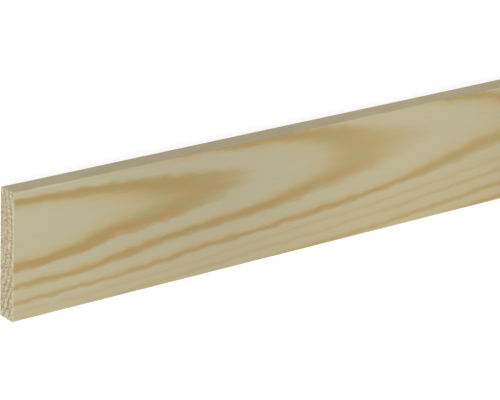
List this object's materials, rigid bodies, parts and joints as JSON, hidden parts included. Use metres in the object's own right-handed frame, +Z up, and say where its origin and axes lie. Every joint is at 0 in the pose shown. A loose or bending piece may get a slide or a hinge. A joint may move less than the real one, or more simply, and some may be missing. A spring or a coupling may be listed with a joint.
{
  "type": "rectangular wood strip",
  "caption": "Plain planed softwood strip of flat rectangular section with eased long edges and square-sawn ends, for trim, edging or battens.",
  "frame": {"origin": "middle of the wide face that the strip lies on", "axes": "+X along the length and the grain, +Y across the width, +Z up through the thickness"},
  "size_m": [0.9, 0.06, 0.01],
  "materials": {
    "planed_pine": "matte"
  },
  "bodies": {
    "root": {"wood_strip": "planed_pine"}
  },
  "joints": []
}
